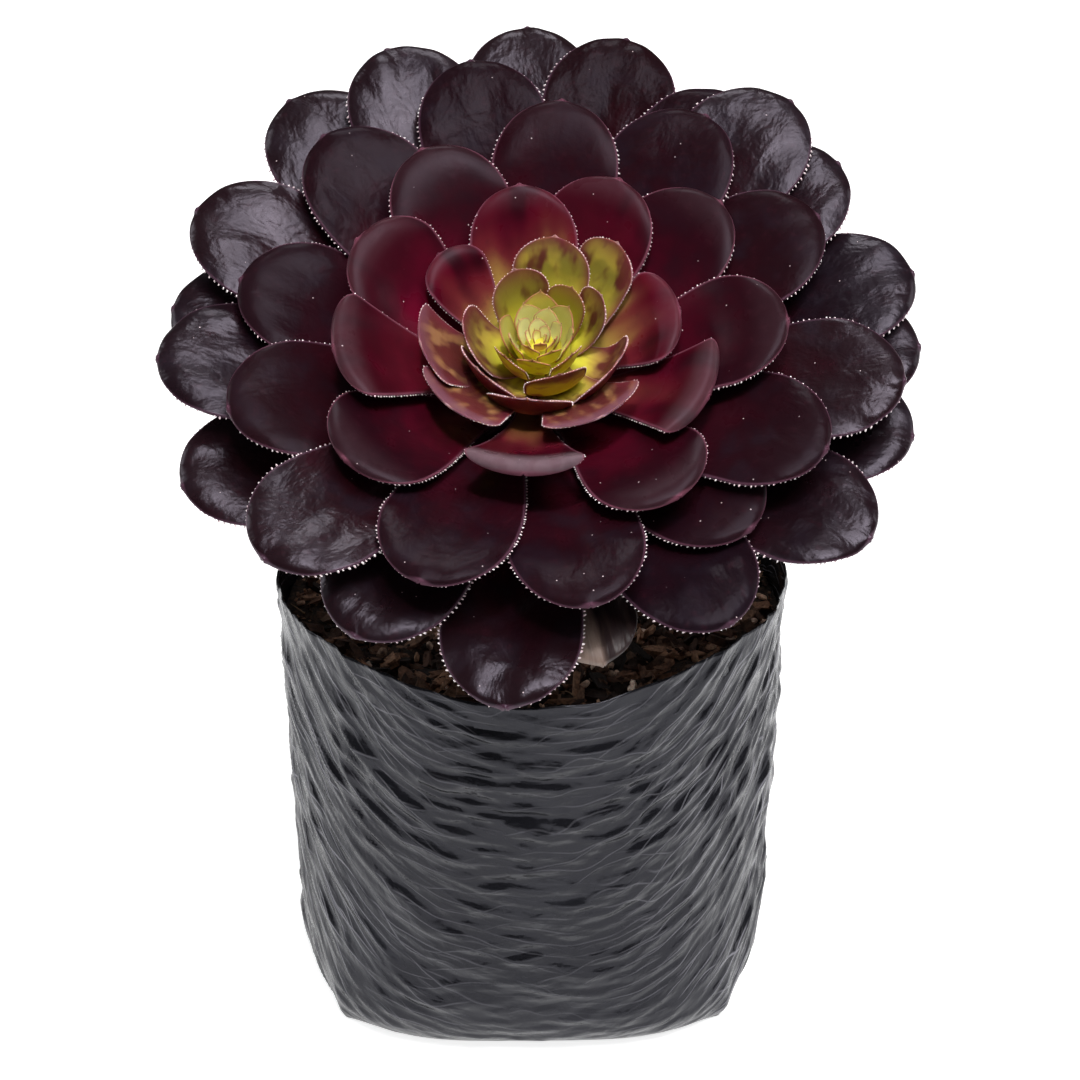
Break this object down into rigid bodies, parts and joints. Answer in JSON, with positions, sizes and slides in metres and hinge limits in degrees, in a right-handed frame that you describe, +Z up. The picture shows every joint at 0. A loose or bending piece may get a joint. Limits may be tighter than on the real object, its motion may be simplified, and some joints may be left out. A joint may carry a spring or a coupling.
{
  "type": "potted aeonium rosette",
  "caption": "Succulent with a broad rosette of dark spoon-shaped leaves round a green heart, on a short woody stalk in a black film grow bag filled with bark soil.",
  "frame": {"origin": "middle of the grow bag's flat underside", "axes": "+Z up, -Y the side that the rosette leans towards and the picture is taken from, +X to the right as seen from there"},
  "size_m": [0.2201, 0.1993, 0.2695],
  "materials": {
    "black_film": "satin crinkled film",
    "bark_soil": "loose dark bark and peat with pale grit",
    "woody_stalk": "rough grey-brown bark with leaf scars",
    "leaf_outer": "glossy near-black purple leaf",
    "leaf_middle": "glossy dark crimson leaf",
    "leaf_withered": "dull grey-brown dry leaf",
    "heart_green": "satin yellow-green leaf with dark red edges"
  },
  "bodies": {
    "root": {"grow_bag": "black_film", "soil": "bark_soil", "stalk": "woody_stalk", "heart": "heart_green", "withered_leaf": "leaf_withered", "leaf_01": "leaf_outer", "leaf_02": "leaf_outer", "leaf_03": "leaf_outer", "leaf_05": "leaf_outer", "leaf_06": "leaf_outer", "leaf_07": "leaf_outer", "leaf_08": "leaf_outer", "leaf_09": "leaf_outer", "leaf_10": "leaf_outer", "leaf_11": "leaf_outer", "leaf_12": "leaf_outer", "leaf_13": "leaf_outer", "leaf_14": "leaf_outer", "leaf_15": "leaf_outer", "leaf_16": "leaf_outer", "leaf_17": "leaf_outer", "leaf_18": "leaf_outer", "leaf_19": "leaf_outer", "leaf_20": "leaf_outer", "leaf_21": "leaf_outer", "leaf_22": "leaf_outer", "leaf_23": "leaf_outer", "leaf_24": "leaf_outer", "leaf_25": "leaf_outer", "leaf_26": "leaf_outer", "leaf_27": "leaf_outer", "leaf_28": "leaf_outer", "leaf_29": "leaf_outer", "leaf_30": "leaf_outer", "leaf_31": "leaf_outer", "leaf_32": "leaf_middle", "leaf_33": "leaf_outer", "leaf_34": "leaf_middle", "leaf_35": "leaf_middle", "leaf_36": "leaf_middle", "leaf_37": "leaf_middle", "leaf_38": "leaf_middle", "leaf_39": "leaf_middle", "leaf_40": "leaf_middle", "leaf_41": "leaf_middle", "leaf_42": "leaf_middle", "leaf_43": "leaf_middle", "leaf_44": "leaf_middle", "leaf_45": "leaf_middle"}
  },
  "joints": []
}
